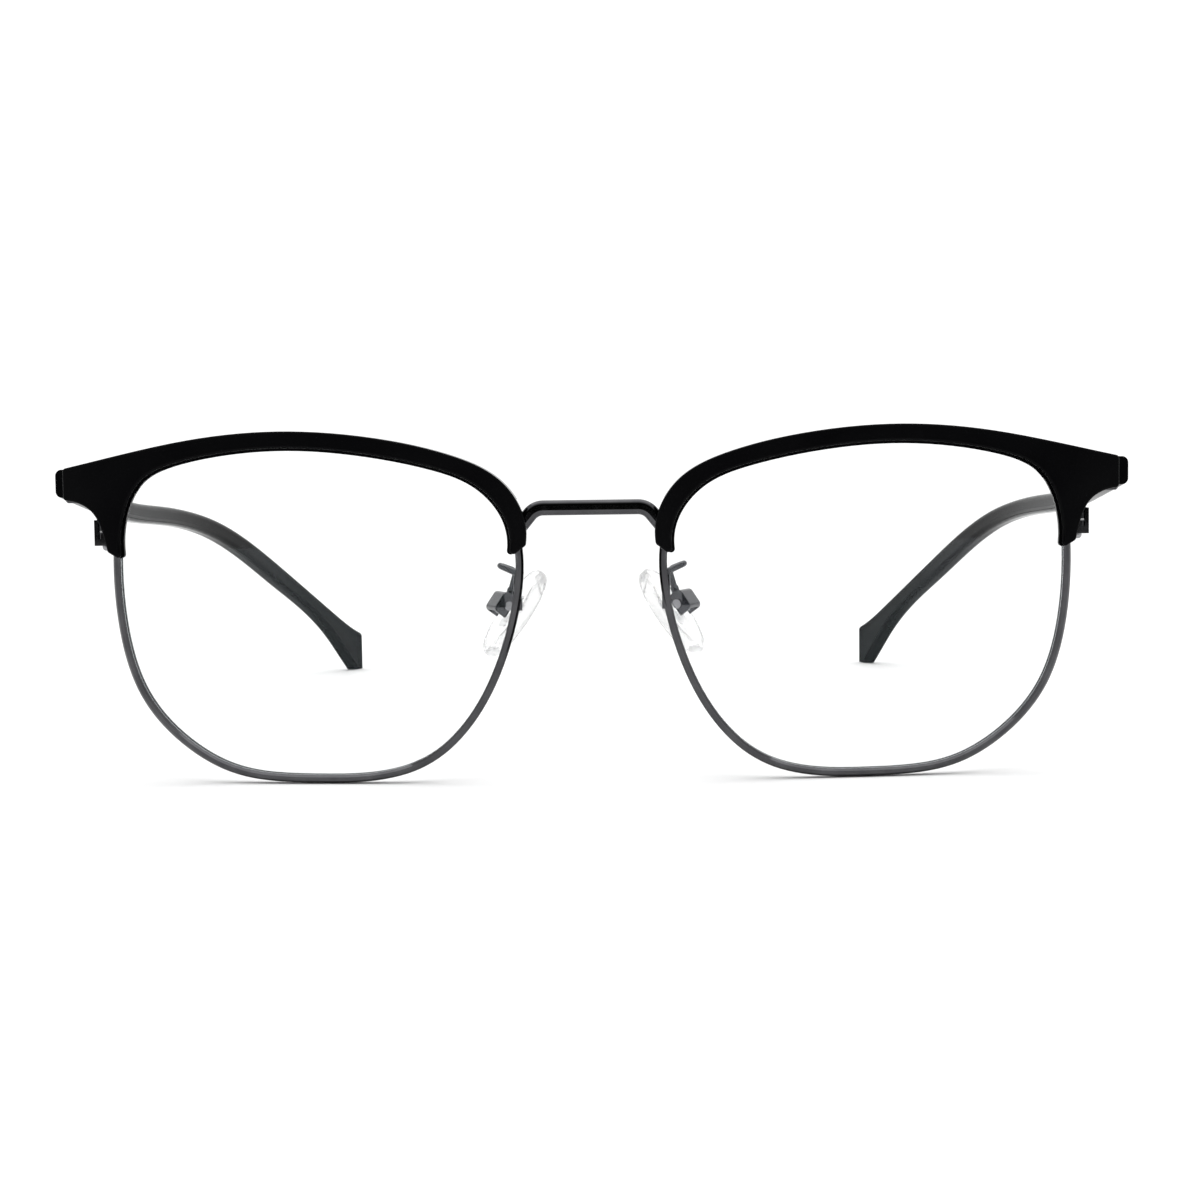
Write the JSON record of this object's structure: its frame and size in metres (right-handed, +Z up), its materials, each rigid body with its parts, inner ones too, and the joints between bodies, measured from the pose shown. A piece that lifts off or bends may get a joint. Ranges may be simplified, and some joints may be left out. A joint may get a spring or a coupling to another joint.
{
  "type": "browline eyeglasses",
  "caption": "Browline eyeglasses: metal rims under glossy black brow bars, metal bridge, silicone nose pads on wire arms, and hinged black temples with curved tips.",
  "frame": {"origin": "on the surface that the glasses stand on, below the middle of the bridge and halfway along the whole object", "axes": "+Z up, +Y back towards the wearer, so -Y is the front, and +X to the right as seen from the front"},
  "size_m": [0.1446, 0.1483, 0.0462],
  "materials": {
    "black_plastic": "polished black acetate-like plastic",
    "dark_metal": "polished dark nickel plating",
    "steel_screws": "polished steel",
    "steel_core": "drawn wire",
    "clear_lens": "clear optical plastic",
    "clear_insert": "clear moulded plastic",
    "silicone": "clear soft silicone"
  },
  "bodies": {
    "front": {"bridge": "dark_metal", "left_brow_bar": "black_plastic", "left_brow_screws": "steel_screws", "left_end_piece": "dark_metal", "left_hinge_front": "dark_metal", "left_hinge_screw": "steel_screws", "left_lens": "clear_lens", "left_pad_arm": "dark_metal", "left_pad_box": "dark_metal", "left_pad_screw": "steel_screws", "left_rim": "dark_metal", "left_rim_lock_lower": "dark_metal", "left_rim_lock_screw": "steel_screws", "left_rim_lock_upper": "dark_metal", "right_brow_bar": "black_plastic", "right_brow_screws": "steel_screws", "right_end_piece": "dark_metal", "right_hinge_front": "dark_metal", "right_hinge_screw": "steel_screws", "right_lens": "clear_lens", "right_pad_arm": "dark_metal", "right_pad_box": "dark_metal", "right_pad_screw": "steel_screws", "right_rim": "dark_metal", "right_rim_lock_lower": "dark_metal", "right_rim_lock_screw": "steel_screws", "right_rim_lock_upper": "dark_metal"},
    "right_temple_arm": {"right_temple": "black_plastic", "right_temple_core": "steel_core", "right_hinge_rear": "dark_metal"},
    "right_pad": {"right_nose_pad": "silicone", "right_pad_insert": "clear_insert"},
    "left_temple_arm": {"left_temple": "black_plastic", "left_temple_core": "steel_core", "left_hinge_rear": "dark_metal"},
    "left_pad": {"left_nose_pad": "silicone", "left_pad_insert": "clear_insert"}
  },
  "joints": [
    {"name": "right_temple_fold", "type": "hinge", "parent": "front", "child": "right_temple_arm", "pos_m": [0.0671, -0.05955, 0.03875], "axis": [0, 0, 1], "range_deg": [0, 85]},
    {"name": "left_temple_fold", "type": "hinge", "parent": "front", "child": "left_temple_arm", "pos_m": [-0.0671, -0.05955, 0.03875], "axis": [0, 0, -1], "range_deg": [0, 79]},
    {"name": "right_pad_rock", "type": "hinge", "parent": "front", "child": "right_pad", "pos_m": [0.01197, -0.06533, 0.02268], "axis": [-0.4226, -0.9063, 0], "range_deg": [-8, 8]},
    {"name": "left_pad_rock", "type": "hinge", "parent": "front", "child": "left_pad", "pos_m": [-0.01197, -0.06533, 0.02268], "axis": [0.4226, -0.9063, 0], "range_deg": [-8, 8]}
  ]
}
